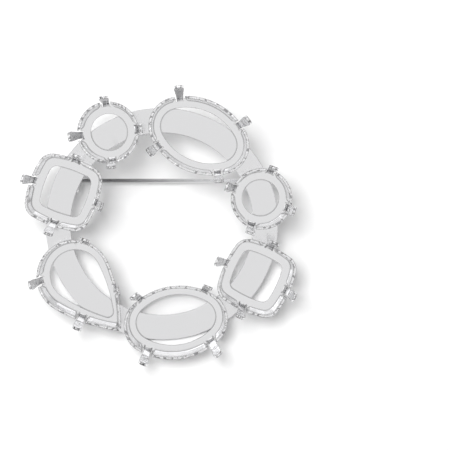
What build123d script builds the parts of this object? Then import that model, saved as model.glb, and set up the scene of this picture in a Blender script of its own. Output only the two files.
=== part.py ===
from build123d import *
import os
from collections import namedtuple
from math import acos, asin, atan2, cos, degrees, hypot, pi, radians, sin, sqrt, tan

# Circle pin brooch: a flat ring that carries seven empty prong settings on its front, and on
# its back a hinged pin stem and a safety catch whose slotted sleeve turns.
# While the pieces are made, the ring lies flat: its back face is at Z = 0, its front looks up,
# its middle is the origin, and the pin stem runs along X. The last step lays the whole brooch
# down as it lies on a table, on its catch, its hinge and the ring's lower edge.

# Ring plate
ring_outer_radius = 15.55
ring_width = 3.35
ring_thickness = 0.6

# Stamped settings: the outlines are those of the wall's rim
sheet = 0.35
wall_height = 4.0
wall_lean = 0.25
foot_bend = 0.25
tab_corner = 0.15
tab_slant = 0.7
slit_width = 0.3
oval_length = 13.8
oval_width = 9.75
oval_end_radius = 3.85
oval_opening_inset = 1.5
oval_prong_angle = 60.0
round_radius = 4.05
round_opening_radius = 2.45
cushion_width = 9.35
cushion_side_radius = 14.0
cushion_corner_radius = 2.0
cushion_opening_width = 6.0
cushion_opening_corner = 1.0
pear_radius = 4.92
pear_side_radius = 22.0
pear_point_radius = 0.4
pear_length = 14.2
pear_opening_radius = 3.4
pear_opening_point_radius = 0.8
pear_opening_length = 10.75
pear_back_prong_angle = 122.0
pear_side_prong_angle = 62.0

# Prongs
prong_width = 0.9
prong_tip_width = 1.3
prong_waist = 2.0
prong_gap = 0.1
prong_height = 6.6
prong_bend = 0.4
prong_line = -0.1
prong_root = 0.3

# Pin stem, hinge and catch, on the back
pin_offset = 5.7
pin_height = 3.47
wire_radius = 0.26
point_length = 3.5
point_radius = 0.06
stem_overhang = 1.6
eye_radius = 0.85
eye_width = 2.2
rivet_radius = 0.35
rivet_head_radius = 0.6
rivet_head_thickness = 0.2
bracket_floor = 0.35
ear_thickness = 0.4
ear_foot_width = 1.9
tube_radius = 1.69
tube_wall = 0.34
tube_length = 2.2
tube_gap_angle = 76.0
neck_width = 2.6
neck_length = 1.8
sleeve_wall = 0.4
slot_width = 1.0
collar_radius = 1.6
collar_thickness = 0.3
lever_thickness = 0.4
lever_reach = 3.5
lever_neck_width = 1.1
lever_tail_width = 3.6
lever_tail_length = 1.7
lever_notch_depth = 0.7
lever_angle = 18.0
running_fit = 0.03
side_gap = 0.05
rivet_fit = 0.01

# The seven settings, anticlockwise round the ring, with the first one's place in degrees. Gap is
# the way along the circle of settings to the next one, out is how far the middle stands outside
# that circle, skew is the turn from its tangent, and flares are how far each prong leans out, in
# degrees.
first_place_angle = 15.05
Setting = namedtuple("Setting", "name shape gap out skew flares")
settings = [
    Setting("setting_round_right", "round", 1.73, -0.23, -35.2, (5.0, 9.5, 6.5, 4.5)),
    Setting("setting_oval_top", "oval", 1.68, -1.03, -1.9, (12.0, 8.0, 11.0, 12.5)),
    Setting("setting_round_left", "round", 1.31, 0.28, -23.3, (10.0, 6.0, 4.5, 6.0)),
    Setting("setting_cushion_left", "cushion", 2.34, -0.27, -1.0, (10.5, 8.0, 6.0, 9.0)),
    Setting("setting_pear", "pear", 0.28, -0.49, 10.4, (3.5, 5.0, 8.0, 8.5)),
    Setting("setting_oval_bottom", "oval", 1.2, -0.93, -0.7, (8.5, 10.0, 10.5, 12.0)),
    Setting("setting_cushion_right", "cushion", 1.94, 0.49, 4.1, (7.5, 12.5, 8.0, 7.5)),
]

# Places that follow from the sizes above: the hinge and the catch stand on the ring's middle
# circle, pin_reach to each side of its middle
ring_inner_radius = ring_outer_radius - ring_width
ring_middle = ring_outer_radius - ring_width / 2
pin_reach = sqrt(ring_middle**2 - pin_offset**2)
tube_bore = tube_radius - tube_wall
ear_inner = eye_width / 2 + side_gap
ear_outer = ear_inner + ear_thickness


def oval_outline(half_length, half_width, end_radius):
    """An oval of four arcs that run into each other without a corner."""
    end_centre = half_length - end_radius
    side_centre = oval_side_radius(half_length, half_width, end_radius) - half_width
    join = atan2(side_centre, end_centre)
    x = end_centre + end_radius * cos(join)
    y = end_radius * sin(join)
    with BuildSketch() as outline:
        with BuildLine():
            ThreePointArc((x, -y), (half_length, 0), (x, y))
            ThreePointArc((x, y), (0, half_width), (-x, y))
            ThreePointArc((-x, y), (-half_length, 0), (-x, -y))
            ThreePointArc((-x, -y), (0, -half_width), (x, -y))
        make_face()
    return outline.sketch


def oval_side_radius(half_length, half_width, end_radius):
    """The radius of the oval's long sides, so that they run smoothly into its ends."""
    spare = half_length**2 + half_width**2 - 2 * half_length * end_radius
    return spare / (2 * (half_width - end_radius))


def cushion_outline(half, side_radius, corner_radius):
    """A square with bulging sides and round corners."""
    behind = side_radius - half
    span = side_radius - corner_radius
    corner = (sqrt(2 * span**2 - behind**2) - behind) / 2
    join = atan2(corner, corner + behind)
    far = corner + corner_radius * cos(join)
    near = corner + corner_radius * sin(join)
    tip = corner + corner_radius * cos(radians(45))
    quarter = [(far, -near), (half, 0), (far, near), (tip, tip), (near, far)]
    with BuildSketch() as outline:
        with BuildLine():
            for turn in range(4):
                places = [Vector(*point).rotate(Axis.Z, 90 * turn) for point in quarter]
                ThreePointArc(places[0], places[1], places[2])
                ThreePointArc(places[2], places[3], places[4])
        make_face()
    return outline.sketch


def pear_join(radius, side_radius, point_radius, point_middle):
    """The direction from the round end's middle in which it runs into a bulging side."""
    behind = side_radius - radius
    spare = (side_radius - point_radius) ** 2 - behind**2 - point_middle**2
    return acos(spare / (2 * point_middle * behind))


def pear_outline(radius, side_radius, point_radius, point_middle):
    """A pear: a round end about the origin, two bulging sides and a point on +X."""
    join = pear_join(radius, side_radius, point_radius, point_middle)
    behind = side_radius - radius
    side_middle = Vector(-behind * cos(join), -behind * sin(join))
    start = Vector(radius * cos(join), radius * sin(join))
    if point_radius > 0:
        end_angle = atan2(-side_middle.Y, point_middle - side_middle.X)
    else:
        end_angle = asin(-side_middle.Y / side_radius)
    half_way = (join + end_angle) / 2
    bulge = side_middle + Vector(side_radius * cos(half_way), side_radius * sin(half_way))
    end = side_middle + Vector(side_radius * cos(end_angle), side_radius * sin(end_angle))
    with BuildSketch() as outline:
        with BuildLine():
            ThreePointArc((start.X, start.Y), (-radius, 0), (start.X, -start.Y))
            ThreePointArc((start.X, -start.Y), (bulge.X, -bulge.Y), (end.X, -end.Y))
            if point_radius > 0:
                ThreePointArc((end.X, -end.Y), (point_middle + point_radius, 0), (end.X, end.Y))
            ThreePointArc((end.X, end.Y), (bulge.X, bulge.Y), (start.X, start.Y))
        make_face()
    return outline.sketch


def oval(grow):
    """The oval wall's outline, grown outwards by grow."""
    return oval_outline(oval_length / 2 + grow, oval_width / 2 + grow, oval_end_radius + grow)


def round_wall(grow):
    """The round wall's outline, grown outwards by grow."""
    with BuildSketch() as outline:
        Circle(round_radius + grow)
    return outline.sketch


def cushion(grow):
    """The cushion wall's outline, grown outwards by grow."""
    return cushion_outline(
        cushion_width / 2 + grow, cushion_side_radius + grow, cushion_corner_radius + grow
    )


def pear(grow):
    """The pear wall's outline, grown outwards by grow."""
    return pear_outline(
        pear_radius + grow, pear_side_radius + grow, pear_point_radius + grow, pear_point_middle
    )


# The middle of the pear's point, and of its opening's point, from the round end's middle
pear_point_middle = pear_length - pear_radius - pear_point_radius
pear_opening_middle = pear_opening_length - pear_opening_radius - pear_opening_point_radius

with BuildSketch() as round_opening:
    Circle(round_opening_radius)

cushion_opening = cushion_outline(
    cushion_opening_width / 2, cushion_side_radius, cushion_opening_corner
)

pear_opening = pear_outline(
    pear_opening_radius, pear_side_radius, pear_opening_point_radius, pear_opening_middle
)


def oval_prongs():
    """Where the oval's prongs leave its rim: a point and an outward direction for each."""
    side_radius = oval_side_radius(oval_length / 2, oval_width / 2, oval_end_radius)
    x = side_radius * cos(radians(oval_prong_angle))
    y = side_radius * sin(radians(oval_prong_angle)) - (side_radius - oval_width / 2)
    return [
        (x, y, oval_prong_angle),
        (-x, y, 180 - oval_prong_angle),
        (-x, -y, 180 + oval_prong_angle),
        (x, -y, -oval_prong_angle),
    ]


def round_prongs():
    """Four prongs, evenly spaced."""
    turns = [90 * quarter for quarter in range(4)]
    places = [Vector(round_radius, 0).rotate(Axis.Z, turn) for turn in turns]
    return [(place.X, place.Y, turn) for place, turn in zip(places, turns)]


def cushion_prongs():
    """One prong at the middle of each side."""
    half = cushion_width / 2
    return [(half, 0, 0), (0, half, 90), (-half, 0, 180), (0, -half, 270)]


def pear_prongs():
    """Two prongs on the round end and one on each bulging side."""
    join = pear_join(pear_radius, pear_side_radius, pear_point_radius, pear_point_middle)
    behind = pear_side_radius - pear_radius
    face = radians(pear_side_prong_angle)
    side_x = pear_side_radius * cos(face) - behind * cos(join)
    side_y = pear_side_radius * sin(face) - behind * sin(join)
    back_x = pear_radius * cos(radians(pear_back_prong_angle))
    back_y = pear_radius * sin(radians(pear_back_prong_angle))
    return [
        (side_x, side_y, pear_side_prong_angle),
        (back_x, back_y, pear_back_prong_angle),
        (back_x, -back_y, -pear_back_prong_angle),
        (side_x, -side_y, -pear_side_prong_angle),
    ]


# Behind and ahead are how far the outline reaches along the circle of settings from its middle.
Shape = namedtuple("Shape", "outline opening prongs behind ahead")
shapes = {
    "oval": Shape(
        oval, oval(-oval_opening_inset), oval_prongs(), oval_length / 2, oval_length / 2
    ),
    "round": Shape(
        round_wall, round_opening.sketch, round_prongs(), round_radius, round_radius
    ),
    "cushion": Shape(
        cushion, cushion_opening, cushion_prongs(), cushion_width / 2, cushion_width / 2
    ),
    "pear": Shape(
        pear, pear_opening, pear_prongs(), pear_radius, pear_length - pear_radius
    ),
}

# The settings follow each other round their circle, which is the ring's middle circle, or a
# larger one where that is too short for them and their gaps.
following = settings[1:] + settings[:1]
steps = [
    shapes[row.shape].ahead + row.gap + shapes[after.shape].behind
    for row, after in zip(settings, following)
]
settings_circle = max(ring_middle, sum(steps) / (2 * pi))
shares = [sum(steps[:passed]) / sum(steps) for passed in range(len(steps))]
places = [first_place_angle + 360 * share for share in shares]

# The prong's bend starts on the base, this far from the rim's outline, where the wall is cut.
bend_start = prong_line - prong_bend - sheet / 2

# Where the prong's round end starts, and how wide the prong is where it passes the rim
prong_shoulder = prong_height - prong_tip_width / 2
widened_share = (wall_height - prong_waist) / (prong_shoulder - prong_waist)
prong_rim_width = prong_width + (prong_tip_width - prong_width) * widened_share


def prong_strip(flare):
    """One prong: flat on the base, bent up, leaning out by flare degrees, and wider towards its
    round end. X points outwards from the rim's outline and Z up from the base's underside."""
    lean = radians(flare)
    outer = prong_bend + sheet
    middle_z = outer
    outer_foot = (bend_start + outer * cos(lean), middle_z - outer * sin(lean))
    inner_foot = (bend_start + prong_bend * cos(lean), middle_z - prong_bend * sin(lean))
    half_turn = radians(-90 - flare) / 2
    outer_mid = (bend_start + outer * cos(half_turn), middle_z + outer * sin(half_turn))
    inner_mid = (bend_start + prong_bend * cos(half_turn), middle_z + prong_bend * sin(half_turn))
    rise = prong_height - inner_foot[1]
    step = (rise * tan(lean), rise)
    outer_top = (outer_foot[0] + step[0], outer_foot[1] + step[1])
    inner_top = (inner_foot[0] + step[0], inner_foot[1] + step[1])
    root = bend_start - prong_root
    half = prong_width / 2
    tip = prong_tip_width / 2
    with BuildPart() as strip:
        with BuildSketch(Plane.XZ):
            with BuildLine():
                Line((root, 0), (bend_start, 0))
                ThreePointArc((bend_start, 0), outer_mid, outer_foot)
                Line(outer_foot, outer_top)
                Line(outer_top, inner_top)
                Line(inner_top, inner_foot)
                ThreePointArc(inner_foot, inner_mid, (bend_start, sheet))
                Line((bend_start, sheet), (root, sheet))
                Line((root, sheet), (root, 0))
            make_face()
        extrude(amount=tip, both=True)
        with BuildSketch(Plane.YZ):
            with BuildLine():
                Polyline((-tip, prong_shoulder), (-half, prong_waist), (-half, 0), (half, 0))
                Polyline((half, 0), (half, prong_waist), (tip, prong_shoulder))
                ThreePointArc((tip, prong_shoulder), (0, prong_height), (-tip, prong_shoulder))
            make_face()
        extrude(amount=prong_height, both=True, mode=Mode.INTERSECT)
    return strip.part


def wall_slot(width, mouth_width, floor, corner):
    """A cutter that parts the wall into tabs: a slot that widens from its floor to its mouth,
    where it flares so that the tabs beside it get round corners."""
    half = width / 2
    mouth = mouth_width / 2
    top = wall_height
    above = wall_height + sheet
    with BuildPart() as cutter:
        with BuildSketch(Plane.YZ.offset(bend_start)):
            with BuildLine():
                Polyline((-half, floor), (half, floor), (mouth, top - corner))
                RadiusArc((mouth, top - corner), (mouth + corner, top), corner)
                Polyline((mouth + corner, top), (mouth + corner, above), (-mouth - corner, above))
                Line((-mouth - corner, above), (-mouth - corner, top))
                RadiusArc((-mouth - corner, top), (-mouth, top - corner), corner)
                Line((-mouth, top - corner), (-half, floor))
            make_face()
        extrude(amount=-bend_start + prong_bend)
    return cutter.part


def tab_trim():
    """A cutter that slants the ends of the tabs beside a prong, above the base, so that the
    base runs out towards the prong."""
    near = prong_width / 2 + prong_gap
    far = near + tab_slant
    inside = -wall_lean - 2 * sheet
    with BuildPart() as cutter:
        with BuildSketch(Plane.XY.offset(sheet)):
            with BuildLine():
                Polyline((0, -near), (0, near), (inside, far), (inside, -far), (0, -near))
            make_face()
        extrude(amount=wall_height)
    return cutter.part


prong_trim = tab_trim()
prong_slot = wall_slot(
    prong_width + 2 * prong_gap, prong_rim_width + 2 * prong_gap, -sheet, tab_corner
)
point_slit = wall_slot(slit_width, slit_width, sheet, slit_width)


def stamped_setting(row, around):
    """One setting, stamped from sheet: a base with an opening, walls bent up in tabs, and
    four prongs bent up between the tabs. It stands on the ring's front, at around degrees."""
    shape = shapes[row.shape]
    reach = settings_circle + row.out
    middle = Vector(reach, 0, ring_thickness).rotate(Axis.Z, around)
    heading = Vector(1, 0, 0).rotate(Axis.Z, around + 90 + row.skew)
    place = Plane(origin=middle, x_dir=heading, z_dir=(0, 0, 1))
    strips = [prong_strip(flare) for flare in row.flares]
    lean_at_base = wall_lean * (1 - sheet / wall_height)
    foot = shape.outline(-wall_lean)
    rim = shape.outline(0)
    inner_foot = shape.outline(-lean_at_base - sheet)
    inner_rim = shape.outline(-sheet)
    with BuildPart(place) as setting:
        with BuildSketch(place):
            add(foot)
        with BuildSketch(place.offset(wall_height)):
            add(rim)
        loft(ruled=True)
        fillet(setting.faces().sort_by(Axis.Z)[0].edges(), foot_bend)
        with BuildSketch(place.offset(sheet)):
            add(inner_foot)
        with BuildSketch(place.offset(wall_height)):
            add(inner_rim)
        loft(ruled=True, mode=Mode.SUBTRACT)
        with BuildSketch(place):
            add(shape.opening)
        extrude(amount=sheet, mode=Mode.SUBTRACT)
        for (x, y, angle), strip in zip(shape.prongs, strips):
            with Locations(Location((x, y, 0), (0, 0, angle))):
                add(prong_slot, mode=Mode.SUBTRACT)
                add(prong_trim, mode=Mode.SUBTRACT)
                add(strip)
        if row.shape == "pear":
            with Locations((pear_length - pear_radius, 0, 0)):
                add(point_slit, mode=Mode.SUBTRACT)
    setting.part.label = row.name
    return setting


with BuildPart() as ring_plate:
    with BuildSketch():
        Circle(ring_outer_radius)
        Circle(ring_inner_radius, mode=Mode.SUBTRACT)
    extrude(amount=ring_thickness)
ring_plate.part.label = "ring_plate"

finished = [ring_plate]
for row, around in zip(settings, places):
    finished.append(stamped_setting(row, around))

# The brooch lies tilted about X: a line from the ring's lower edge touches the catch's tube.
# The hinge's ears reach down to the same line, so that both stand on the table.
pivot_run = pin_offset + ring_outer_radius
resting_tilt = atan2(pin_height, pivot_run) + asin(tube_radius / hypot(pivot_run, pin_height))
ear_reach = (pivot_run - ear_outer) * tan(resting_tilt)
ear_radius = ear_reach - pin_height

# Hinge bracket: bent from one strip, with a floor soldered to the ring's back and two ears
# that carry the rivet
with BuildPart() as joint_bracket:
    with BuildSketch():
        with Locations((-pin_reach, pin_offset)):
            Rectangle(ear_foot_width, 2 * ear_outer)
    extrude(amount=-bracket_floor)
    for side in (-1, 1):
        with BuildSketch(Plane.XZ.offset(-pin_offset - side * ear_inner)):
            with Locations((-pin_reach, -pin_height)):
                Circle(ear_radius)
            with Locations((-pin_reach, -pin_height / 2)):
                Rectangle(ear_foot_width, pin_height)
            with Locations((-pin_reach, -pin_height)):
                Circle(rivet_radius + rivet_fit, mode=Mode.SUBTRACT)
        extrude(amount=-side * ear_thickness)
joint_bracket.part.label = "joint_bracket"
finished.append(joint_bracket)

# Rivet: a short shaft with a flat head outside each ear
with BuildPart() as joint_rivet:
    with BuildSketch(Plane.XZ.offset(-pin_offset)):
        with Locations((-pin_reach, -pin_height)):
            Circle(rivet_radius)
    extrude(amount=ear_outer, both=True)
    for side in (-1, 1):
        with BuildSketch(Plane.XZ.offset(-pin_offset - side * ear_outer)):
            with Locations((-pin_reach, -pin_height)):
                Circle(rivet_head_radius)
        extrude(amount=-side * rivet_head_thickness)
joint_rivet.part.label = "joint_rivet"
finished.append(joint_rivet)

# Pin stem: a wire with a flat eye on the rivet and a long point beyond the catch
stem_end = pin_reach + tube_length / 2 + stem_overhang
stem_plane = Plane(origin=(0, pin_offset, -pin_height), x_dir=(1, 0, 0), z_dir=(0, -1, 0))
with BuildPart() as pin_stem:
    with BuildSketch(stem_plane):
        with BuildLine():
            Polyline(
                (-pin_reach, 0),
                (stem_end, 0),
                (stem_end, point_radius),
                (stem_end - point_length, wire_radius),
                (-pin_reach, wire_radius),
                (-pin_reach, 0),
            )
        make_face()
    revolve(axis=Axis((0, pin_offset, -pin_height), (1, 0, 0)))
    with BuildSketch(Plane.XZ.offset(-pin_offset)):
        with Locations((-pin_reach, -pin_height)):
            Circle(eye_radius)
    extrude(amount=eye_width / 2, both=True)
    with BuildSketch(Plane.XZ.offset(-pin_offset)):
        with Locations((-pin_reach, -pin_height)):
            Circle(rivet_radius + running_fit)
    extrude(amount=eye_width, both=True, mode=Mode.SUBTRACT)
pin_stem.part.label = "pin_stem"
finished.append(pin_stem)

# Catch body: a neck on the ring's back, and a tube that is open away from the ring
catch_axis = Plane(origin=(pin_reach, pin_offset, -pin_height), x_dir=(0, 1, 0), z_dir=(1, 0, 0))
with BuildPart() as catch_body:
    with BuildSketch(Plane.XY):
        with Locations((pin_reach, pin_offset)):
            Rectangle(neck_length, neck_width)
    extrude(amount=-pin_height)
    with BuildSketch(catch_axis):
        Circle(tube_radius)
    extrude(amount=tube_length / 2, both=True)
    with BuildSketch(catch_axis):
        Circle(tube_bore)
    extrude(amount=tube_length, both=True, mode=Mode.SUBTRACT)
    gap_half = radians(tube_gap_angle / 2)
    with BuildSketch(catch_axis):
        with BuildLine():
            Polyline(
                (0, 0),
                (2 * tube_radius * sin(gap_half), -2 * tube_radius * cos(gap_half)),
                (-2 * tube_radius * sin(gap_half), -2 * tube_radius * cos(gap_half)),
                (0, 0),
            )
        make_face()
    extrude(amount=tube_length, both=True, mode=Mode.SUBTRACT)
catch_body.part.label = "catch_body"
finished.append(catch_body)

# Catch rotor: a slotted sleeve that turns in the tube, with a collar at its inner end and a
# flat two-lobed lever at its outer end. It stands open: its slot looks away from the ring.
sleeve_radius = tube_bore - running_fit
sleeve_bore = sleeve_radius - sleeve_wall
collar_face = -tube_length / 2 - side_gap
lever_face = tube_length / 2 + side_gap
lever_turn = 180 - lever_angle
lever_plane = catch_axis.offset(lever_face).rotated((lever_turn, 0, 0))
lobe = lever_tail_width / 2
neck = lever_neck_width / 2
tail = lever_reach - lever_tail_length
tail_middle = lever_reach - lever_tail_length * 0.4
with BuildPart() as catch_rotor:
    with BuildSketch(catch_axis.offset(collar_face - collar_thickness)):
        Circle(sleeve_radius)
    extrude(amount=collar_thickness + tube_length + 2 * side_gap + lever_thickness)
    with BuildSketch(catch_axis.offset(collar_face - collar_thickness)):
        Circle(collar_radius)
    extrude(amount=collar_thickness)
    with BuildSketch(lever_plane):
        with Locations(((lever_reach - lever_tail_length) / 2, 0)):
            Rectangle(lever_reach - lever_tail_length, lever_neck_width)
        with BuildLine():
            Line((lever_reach - lever_notch_depth, 0), (lever_reach, lobe / 2))
            ThreePointArc((lever_reach, lobe / 2), (tail_middle, lobe), (tail, neck))
            Line((tail, neck), (tail, -neck))
            ThreePointArc((tail, -neck), (tail_middle, -lobe), (lever_reach, -lobe / 2))
            Line((lever_reach, -lobe / 2), (lever_reach - lever_notch_depth, 0))
        make_face()
    extrude(amount=lever_thickness)
    with BuildSketch(catch_axis.offset(collar_face - collar_thickness)):
        Circle(sleeve_bore)
    extrude(amount=2 * tube_length, mode=Mode.SUBTRACT)
    with BuildSketch(catch_axis.offset(collar_face - collar_thickness)):
        with Locations((0, -collar_radius)):
            Rectangle(slot_width, 2 * collar_radius)
    extrude(amount=2 * tube_length, mode=Mode.SUBTRACT)
catch_rotor.part.label = "catch_rotor"
finished.append(catch_rotor)

# Lay the brooch down: tilt it about X, then set its lowest point on Z = 0 and the middle of
# its box on the origin.
tilt = Rotation(degrees(resting_tilt), 0, 0)
whole = Compound([tilt * piece.part for piece in finished]).bounding_box()
middle = whole.center()
lay_down = Pos(-middle.X, -middle.Y, -whole.min.Z) * tilt

os.makedirs("parts", exist_ok=True)
for piece in finished:
    piece.part.move(lay_down)
    export_step(piece.part, f"parts/{piece.part.label}.step")
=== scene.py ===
import math

import bpy
from mathutils import Matrix, Vector


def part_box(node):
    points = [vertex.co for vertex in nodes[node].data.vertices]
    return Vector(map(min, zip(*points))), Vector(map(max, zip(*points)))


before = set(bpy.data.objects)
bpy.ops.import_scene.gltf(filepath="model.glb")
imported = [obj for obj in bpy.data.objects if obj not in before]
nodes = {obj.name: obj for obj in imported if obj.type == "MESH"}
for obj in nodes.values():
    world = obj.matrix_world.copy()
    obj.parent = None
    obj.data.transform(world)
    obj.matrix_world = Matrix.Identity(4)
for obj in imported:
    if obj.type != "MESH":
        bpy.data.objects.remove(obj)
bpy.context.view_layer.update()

# The ring plate: a flat washer blanked from brass sheet, tumbled smooth and plated with a bright
# white metal. The settings are soldered to its front, the hinge and the catch to its back, so
# directions and heights on the brooch are taken from it.
millimetre = 0.001
ring = nodes["ring_plate"].data
ring_up = max(ring.polygons, key=lambda face: face.area).normal.copy()
if ring_up.z < 0:
    ring_up.negate()
ring_across = Vector((1, 0, 0))
ring_along = ring_up.cross(ring_across)
heights = [vertex.co.dot(ring_up) for vertex in ring.vertices]
ring_thickness = max(heights) - min(heights)
low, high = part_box("ring_plate")
ring_back = (low + high) / 2 - ring_up * ring_thickness / 2


class Signal:
    """One output of a shader's nodes. Sums, differences and products of signals and plain numbers
    add the Math nodes that work them out. A signal without a socket only starts a tree."""

    def __init__(self, tree, socket=None):
        self.tree = tree
        self.socket = socket

    def node(self, kind, settings=None, inputs=None, output=0):
        """A new node, with its settings made first, then its sockets set or linked."""
        made = self.tree.nodes.new(kind)
        for name, value in (settings or {}).items():
            if name == "stops":
                ramp = made.color_ramp
                while len(ramp.elements) < len(value):
                    ramp.elements.new(1.0)
                for element, (place, grey) in zip(ramp.elements, value):
                    element.position = place
                    element.color = (grey, grey, grey, 1.0)
            else:
                setattr(made, name, value)
        for name, value in (inputs or {}).items():
            if isinstance(value, Signal):
                self.tree.links.new(value.socket, made.inputs[name])
            else:
                made.inputs[name].default_value = value
        return Signal(self.tree, made.outputs[output] if made.outputs else None)

    def maths(self, operation, first, second):
        """One Math node on two numbers or signals."""
        return self.node("ShaderNodeMath", {"operation": operation}, {0: first, 1: second})

    def __add__(self, other):
        return self.maths("ADD", self, other)

    def __sub__(self, other):
        return self.maths("SUBTRACT", self, other)

    def __rsub__(self, other):
        return self.maths("SUBTRACT", other, self)

    def __mul__(self, other):
        return self.maths("MULTIPLY", self, other)

    def __abs__(self):
        return self.maths("ABSOLUTE", self, 0.0)

    __radd__ = __add__
    __rmul__ = __mul__

    def along(self, way):
        """How far this vector reaches in a direction."""
        vectors = {0: self, 1: way}
        return self.node("ShaderNodeVectorMath", {"operation": "DOT_PRODUCT"}, vectors, "Value")

    def share(self, none, full, eased=False):
        """This signal as a share that is 0 at one value, 1 at the other, and held beyond them."""
        curve = {"interpolation_type": "SMOOTHSTEP" if eased else "LINEAR"}
        limits = {"Value": self, "From Min": none, "From Max": full}
        return self.node("ShaderNodeMapRange", curve, limits)

    def colour(self, none, full):
        """The first colour where this share is 0, turning to the second where it is 1."""
        share_socket, none_socket, full_socket, colour_output = 0, 6, 7, 2
        mixed = {share_socket: self, none_socket: none, full_socket: full}
        return self.node("ShaderNodeMix", {"data_type": "RGBA"}, mixed, colour_output)

    def patches(self, size, detail=2.0, roughness=0.5):
        """Random soft patches over this place, about the given size across."""
        return self.node(
            "ShaderNodeTexNoise",
            inputs={"Vector": self, "Scale": 1 / size, "Detail": detail, "Roughness": roughness},
        )


def new_tree(name):
    """A new material, and a signal to start its node tree from."""
    material = bpy.data.materials.new(name)
    material.use_nodes = True
    material.node_tree.nodes.clear()
    return material, Signal(material.node_tree)


def bright_metal(name, colour, gloss, flat_wave, bent_wave, streak_and_shade):
    """Plated sheet or polished wire. Gloss is its roughness. The waves say how uneven it is, in
    millimetres, where it lies flat on the ring and where it was bent. Streak_and_shade says how
    strongly its colour is darkened, from 0 to 1: by the streaks that the bending drew, with
    painted shade on its steep walls up by the rim, and by painted dark reflections in dashes on
    its rims."""
    # Painted shade and painted dark reflections on the steep walls and rims, laid in streaks and
    # dashes
    streak_and_shade_grey = (0.34, 0.34, 0.35, 1.0)
    # Painted dark line along the rounded edges
    edge_shade_grey = (0.28, 0.28, 0.285, 1.0)
    # Painted shade in corners and recesses
    corner_shade_grey = (0.42, 0.42, 0.425, 1.0)
    material, start = new_tree(name)
    place = start.node("ShaderNodeTexCoord", output="Object")
    facing = start.node("ShaderNodeTexCoord", output="Normal")

    # Where a spot lies: on a level or a steep face, down on a setting's base or up by its rim
    sheet = 0.35 * millimetre
    base_top = ring_back.dot(ring_up) + ring_thickness + sheet
    foot_top = base_top + 0.3 * millimetre
    rim_starts = base_top + 2.8 * millimetre
    rim_full = base_top + 3.2 * millimetre
    height = place.along(ring_up)
    upness = abs(facing.along(ring_up))
    level = upness.share(none=0.80, full=0.97)
    steep = upness.share(none=0.65, full=0.35)
    flat = level * height.share(none=foot_top, full=base_top)
    near_rim = height.share(none=rim_starts, full=rim_full)

    # The streaks that the bending drew along the walls, and the dents that it left on the rims,
    # both
    # darkened with painted shade: steep faces get painted shade in the streaks, more strongly up
    # by the rim, and the rims get painted dark reflections in dashes
    streak_squeeze = 4.0
    wall_streak_shade, rim_streak_shade = 0.15, 0.5
    lifted = start.node("ShaderNodeCombineXYZ", inputs={"Z": height * streak_squeeze})
    drawn = start.node("ShaderNodeVectorMath", {"operation": "ADD"}, {0: place, 1: lifted})
    streaks = drawn.patches(1.1 * millimetre, detail=4.0, roughness=0.7)
    unstreaked = streaks.share(none=0.42, full=0.58, eased=True)
    rim_dash_patches = place.patches(0.45 * millimetre, detail=1.0)
    rim_dashed = rim_dash_patches.share(none=0.54, full=0.62, eased=True)
    streak_and_shade_loss = (wall_streak_shade + rim_streak_shade * near_rim) * (1 - unstreaked) * steep
    rim_dash_shade_loss = rim_dashed * (1 - steep) * near_rim
    unmarked_unshaded = 1 - streak_and_shade * (streak_and_shade_loss + rim_dash_shade_loss)

    # Painted shade in corners and recesses, which the tumbler didn't reach and which stay rougher,
    # and painted dark lines along the edges that it rounded
    reach = 0.3 * millimetre
    edge_radius = 0.14 * millimetre
    openness = start.node("ShaderNodeAmbientOcclusion", {"samples": 12}, {"Distance": reach}, "AO")
    open_share = openness.share(none=0.35, full=0.80)
    rounded = start.node("ShaderNodeBevel", {"samples": 6}, {"Radius": edge_radius})
    straight = start.node("ShaderNodeNewGeometry", output="True Normal")
    face_share = rounded.along(straight).share(none=0.87, full=0.985)
    # The streaks, with their painted shade and painted dark reflections, darken the colour here
    streaked_and_shaded = unmarked_unshaded.colour(streak_and_shade_grey, (*colour, 1.0))
    # Painted dark lines along the edges, then painted shade in the corners
    edge_shaded = face_share.colour(edge_shade_grey, streaked_and_shaded)
    tone = open_share.colour(corner_shade_grey, edge_shaded)

    # Hairlines from the tumbler's media, and slow and quick waves from the tools
    hairline_turn = (0.4, 0.3, 0.7)
    hairlines_a_metre = (900, 14000, 9000)
    hairline_haze, hairline_depth = 0.08, 0.0005
    corner_haze = 0.15
    quick_part = 0.35
    low_wall_part = 0.4
    turned = start.node(
        "ShaderNodeMapping",
        inputs={"Vector": place, "Rotation": hairline_turn, "Scale": hairlines_a_metre},
    )
    hairline = turned.patches(1.0, detail=3.0)
    slow = place.patches(0.7 * millimetre, detail=1.5)
    quick = place.patches(0.22 * millimetre)
    roughness = gloss + hairline_haze * (hairline - 0.5) + corner_haze * (1 - open_share)
    wall_wave = bent_wave * (low_wall_part + (1 - low_wall_part) * near_rim)
    wave = flat_wave * flat + wall_wave * (1 - flat)
    relief = wave * slow + quick_part * wave * quick + hairline_depth * hairline
    bump = start.node("ShaderNodeBump", inputs={"Height": relief, "Distance": millimetre})
    metal = start.node(
        "ShaderNodeBsdfPrincipled",
        inputs={"Base Color": tone, "Metallic": 1.0, "Roughness": roughness, "Normal": bump},
    )
    start.node("ShaderNodeOutputMaterial", inputs={"Surface": metal})
    return material


def dress(node_name, material, edge):
    """Give a solid its material and the rounding that tumbling leaves on its edges, in
    millimetres."""
    solid = nodes[node_name]
    solid.data.materials.clear()
    solid.data.materials.append(material)
    weld = solid.modifiers.new("joined_faces", "WELD")
    weld.merge_threshold = 0.001 * millimetre
    if edge > 0:
        rounding = solid.modifiers.new("tumbled_edge", "BEVEL")
        rounding.width = edge * millimetre
        rounding.segments = 3
        rounding.limit_method = "ANGLE"
        rounding.angle_limit = math.radians(35)


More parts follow.
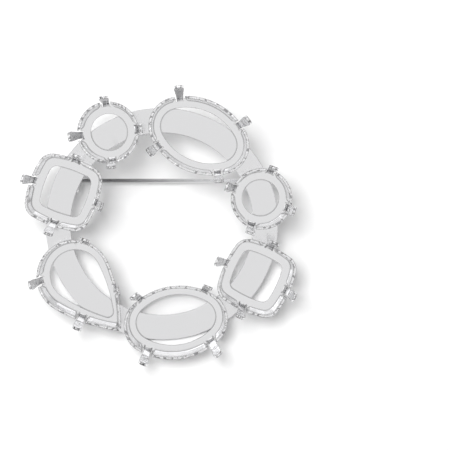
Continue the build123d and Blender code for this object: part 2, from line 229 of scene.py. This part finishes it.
ring_metal = bright_metal(
    "bright_plate_flat",
    colour=(0.95, 0.95, 0.96),
    gloss=0.14,
    flat_wave=0.003,
    bent_wave=0.01,
    streak_and_shade=0.0,
)
dress("ring_plate", ring_metal, edge=0.06)

# The seven settings: each is stamped from one piece of brass sheet, with its wall and its four
# prongs bent up from the base, plated like the ring and soldered to its front. The bending left
# streaks in the walls and dents in the rims; the walls also carry painted shade and the rims
# painted dark reflections in dashes.
setting_metal = bright_metal(
    "bright_plate_stamped",
    colour=(0.97, 0.97, 0.98),
    gloss=0.08,
    flat_wave=0.004,
    bent_wave=0.10,
    streak_and_shade=0.8,
)
for node_name in sorted(nodes):
    if node_name.startswith("setting_"):
        dress(node_name, setting_metal, edge=0.1)

# The hinge bracket: one strip of plated brass, bent up into two ears that hold the rivet, and
# soldered to the ring's back.
bracket_metal = bright_metal(
    "bright_plate_bracket",
    colour=(0.95, 0.95, 0.96),
    gloss=0.15,
    flat_wave=0.006,
    bent_wave=0.012,
    streak_and_shade=0.2,
)
dress("joint_bracket", bracket_metal, edge=0.05)

# The rivet and the pin stem: polished steel wire. The rivet is headed over through the bracket's
# ears, and the stem turns on it by its eye and is ground to a long point at its other end.
wire_metal = bright_metal(
    "polished_steel_wire",
    colour=(0.97, 0.97, 0.98),
    gloss=0.26,
    flat_wave=0.003,
    bent_wave=0.003,
    streak_and_shade=0.0,
)
dress("joint_rivet", wire_metal, edge=0.05)
dress("pin_stem", wire_metal, edge=0.0)

# The catch: an open tube on a neck, of the same plated brass as the bracket and soldered to the
# ring's back, and a slotted sleeve that is turned inside it by a two-lobed lever.
dress("catch_body", bracket_metal, edge=0.05)
dress("catch_rotor", bracket_metal, edge=0.05)

# The camera: it looks nearly straight at the ring's front, as the photograph does. Its place and
# its aim are measured from the middle of the ring's back, along the ring's own axes.


def from_ring(across, along, up):
    """A place given in millimetres along the ring's own axes, in the frame's metres."""
    return ring_back + (ring_across * across + ring_along * along + ring_up * up) * millimetre


photo_width = 450
focal_pixels = 1866.1
camera_place = from_ring(3.5, 14.6, 250)
camera_aim = from_ring(8.45, -0.15, 0)
backwards = (camera_place - camera_aim).normalized()
sideways = ring_along.cross(backwards).normalized()
upwards = backwards.cross(sideways)
camera_data = bpy.data.cameras.new("photo_view")
camera_data.sensor_width = 36
camera_data.lens = camera_data.sensor_width * focal_pixels / photo_width
camera_data.clip_start = 10 * millimetre
camera = bpy.data.objects.new("photo_view", camera_data)
camera_axes = Matrix((sideways, upwards, backwards)).transposed().to_4x4()
camera.matrix_world = Matrix.Translation(camera_place) @ camera_axes
bpy.context.scene.collection.objects.link(camera)
bpy.context.scene.camera = camera
bpy.context.scene.view_settings.view_transform = "Standard"

# The floor: a large sheet of matt white card with a fine grain. The brooch lies on it on its
# catch, its hinge and the ring's lower edge.
card_size = 2.0
card_grain = millimetre / 0.9
card_light_grey = (0.93, 0.93, 0.93, 1.0)
card_dark_grey = (0.90, 0.90, 0.90, 1.0)
half = card_size / 2
card_corners = [(-half, -half, 0), (half, -half, 0), (half, half, 0), (-half, half, 0)]
floor_mesh = bpy.data.meshes.new("white_card")
floor_mesh.from_pydata(card_corners, [], [(0, 1, 2, 3)])
floor = bpy.data.objects.new("white_card", floor_mesh)
bpy.context.scene.collection.objects.link(floor)
card, start = new_tree("matt_white_card")
grain = start.node("ShaderNodeTexCoord", output="Object").patches(card_grain)
paper = start.node(
    "ShaderNodeBsdfPrincipled",
    inputs={
        "Base Color": grain.colour(card_dark_grey, card_light_grey),
        "Roughness": 0.9,
        "Specular IOR Level": 0.1,
    },
)
start.node("ShaderNodeOutputMaterial", inputs={"Surface": paper})
floor_mesh.materials.append(card)

# The light: a tent of white cloth, darker towards the floor and patchy at its sides, with a bright
# panel towards the upper left that the metal mirrors. It is even in the direction that level metal
# mirrors, so that the ring and the bases shine evenly.
cloth_greys = [(0.0, 0.54), (0.2, 0.58), (0.5, 0.62), (0.8, 0.72), (0.92, 0.84)]
cloth_strength, panel_strength = 0.91, 0.82
dim_patch, patch_gain = 0.40, 1.05
patches_across = 3.5
panel_lean = math.radians(24)
towards_corner = (upwards - sideways).normalized()
panel_way = ring_up * math.cos(panel_lean) + towards_corner * math.sin(panel_lean)
mirrored_way = 2 * ring_up.dot(backwards) * ring_up - backwards
world = bpy.data.worlds.new("white_tent")
world.use_nodes = True
world.node_tree.nodes.clear()
bpy.context.scene.world = world
tent = Signal(world.node_tree)
direction = tent.node("ShaderNodeTexCoord", output="Generated")
rise = tent.node("ShaderNodeSeparateXYZ", inputs={0: direction}, output="Z")
cloth = tent.node("ShaderNodeValToRGB", {"stops": cloth_greys}, {0: rise})


def around(way, outer, inner):
    """1 up to the inner angle from a direction, in degrees, and 0 past the outer one."""
    outer_reach, inner_reach = math.cos(math.radians(outer)), math.cos(math.radians(inner))
    return direction.along(way).share(none=outer_reach, full=inner_reach, eased=True)


calm = around(mirrored_way, outer=22, inner=13)
panel = around(panel_way, outer=17, inner=9)
cloudy = direction.patches(1 / patches_across, detail=1.0)
patch = cloudy.share(none=0.44, full=0.56, eased=True)
evenness = calm + (1 - calm) * (dim_patch + patch_gain * patch)
strength = (cloth_strength + panel_strength * panel) * evenness
glow = tent.node("ShaderNodeBackground", inputs={"Color": cloth, "Strength": strength})
tent.node("ShaderNodeOutputWorld", inputs={"Surface": glow})

# The softbox: a round diffuser at the upper left, behind the camera, that throws the soft shadows
# and shows in no reflection.
softbox_place = from_ring(-66, 84, 330)
softbox_data = bpy.data.lights.new("softbox", "AREA")
softbox_data.shape = "DISK"
softbox_data.size = 150 * millimetre
softbox_data.energy = 0.80
softbox = bpy.data.objects.new("softbox", softbox_data)
softbox.visible_glossy = False
softbox.location = softbox_place
softbox.rotation_mode = "QUATERNION"
softbox.rotation_quaternion = (softbox_place - ring_back).to_track_quat("Z", "Y")
bpy.context.scene.collection.objects.link(softbox)
